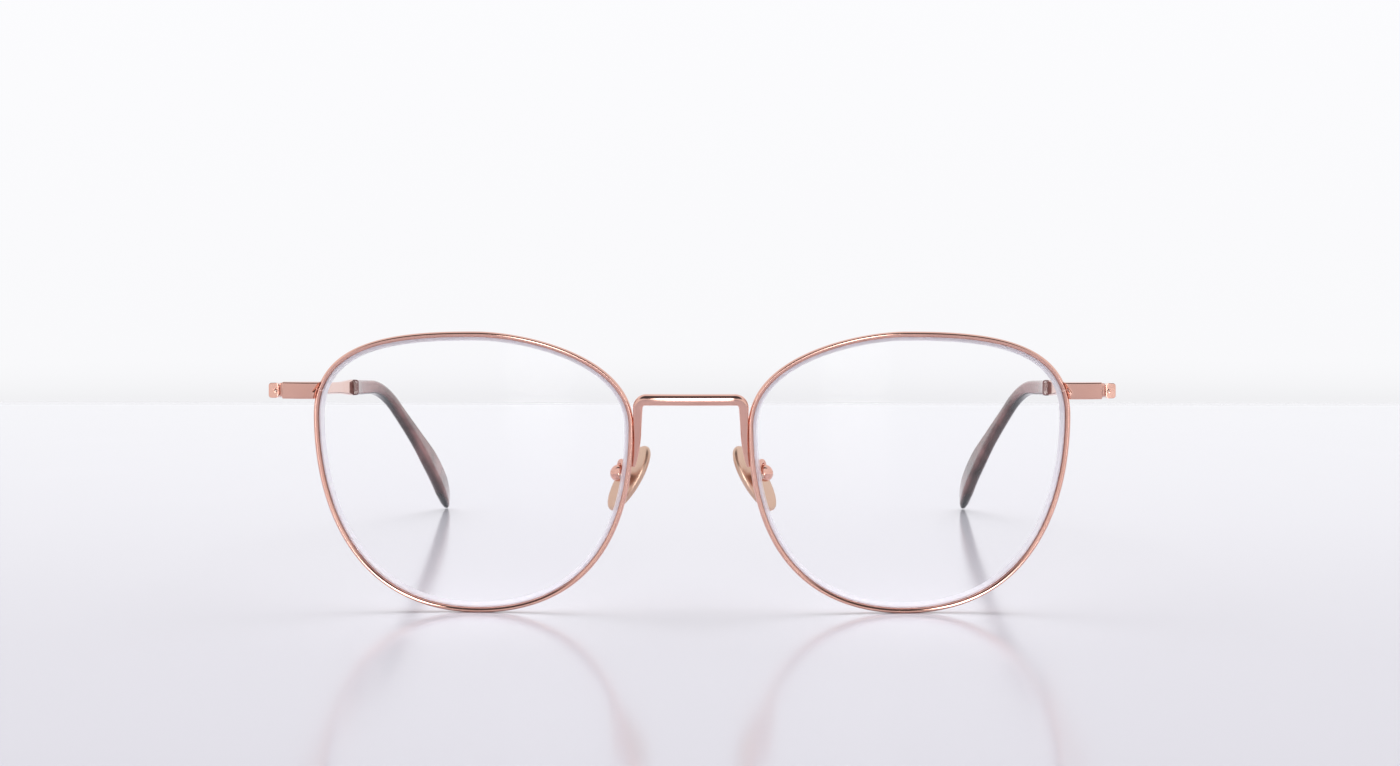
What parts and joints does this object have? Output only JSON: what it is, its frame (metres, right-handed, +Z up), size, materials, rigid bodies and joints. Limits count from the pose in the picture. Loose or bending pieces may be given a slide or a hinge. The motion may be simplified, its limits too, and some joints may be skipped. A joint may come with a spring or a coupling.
{
  "type": "eyeglasses",
  "caption": "Round wire eyeglasses: thin metal rims with clear lenses, a squared wire bridge, small oval metal nose pads, and slim folding temples with dark curved tips.",
  "frame": {"origin": "on the table, in the middle of the object's length and width", "axes": "+X to the wearer's left, +Y from the lenses towards the ears, +Z up, with the glasses resting on their rims and temple tips"},
  "size_m": [0.1366, 0.1338, 0.046],
  "materials": {
    "rose_gold": "polished rose gold plating",
    "screws": "satin screw metal",
    "pad_metal": "satin beige-pink metal",
    "lens": "clear polished lens plastic",
    "acetate": "polished dark brown acetate"
  },
  "bodies": {
    "front": {"bridge": "rose_gold", "rim_left": "rose_gold", "rim_right": "rose_gold", "lens_left": "lens", "lens_right": "lens", "endpiece_left": "rose_gold", "endpiece_right": "rose_gold", "lock_upper_left": "rose_gold", "lock_upper_right": "rose_gold", "lock_lower_left": "rose_gold", "lock_lower_right": "rose_gold", "lock_screw_left": "screws", "lock_screw_right": "screws", "hinge_front_left": "rose_gold", "hinge_front_right": "rose_gold", "hinge_screw_left": "screws", "hinge_screw_right": "screws", "pad_arm_left": "rose_gold", "pad_arm_right": "rose_gold", "pad_box_left": "rose_gold", "pad_box_right": "rose_gold", "pad_screw_left": "screws", "pad_screw_right": "screws"},
    "temple_left": {"hinge_temple_left": "rose_gold", "temple_arm_left": "rose_gold", "temple_tip_left": "acetate", "temple_rivet_left": "screws"},
    "temple_right": {"hinge_temple_right": "rose_gold", "temple_arm_right": "rose_gold", "temple_tip_right": "acetate", "temple_rivet_right": "screws"},
    "pad_left": {"nose_pad_left": "pad_metal", "pad_post_left": "pad_metal"},
    "pad_right": {"nose_pad_right": "pad_metal", "pad_post_right": "pad_metal"}
  },
  "joints": [
    {"name": "temple_left_fold", "type": "hinge", "parent": "front", "child": "temple_left", "pos_m": [0.0649, -0.06036, 0.0363], "axis": [0, 0, 1], "range_deg": [0, 84]},
    {"name": "temple_right_fold", "type": "hinge", "parent": "front", "child": "temple_right", "pos_m": [-0.0649, -0.06036, 0.0363], "axis": [0, 0, -1], "range_deg": [0, 78]},
    {"name": "pad_left_rock", "type": "hinge", "parent": "front", "child": "pad_left", "pos_m": [0.01192, -0.05932, 0.02251], "axis": [0.3951, 0.8874, 0.2374], "range_deg": [-8, 8]},
    {"name": "pad_right_rock", "type": "hinge", "parent": "front", "child": "pad_right", "pos_m": [-0.01192, -0.05932, 0.02251], "axis": [-0.3951, 0.8874, 0.2374], "range_deg": [-8, 8]}
  ]
}
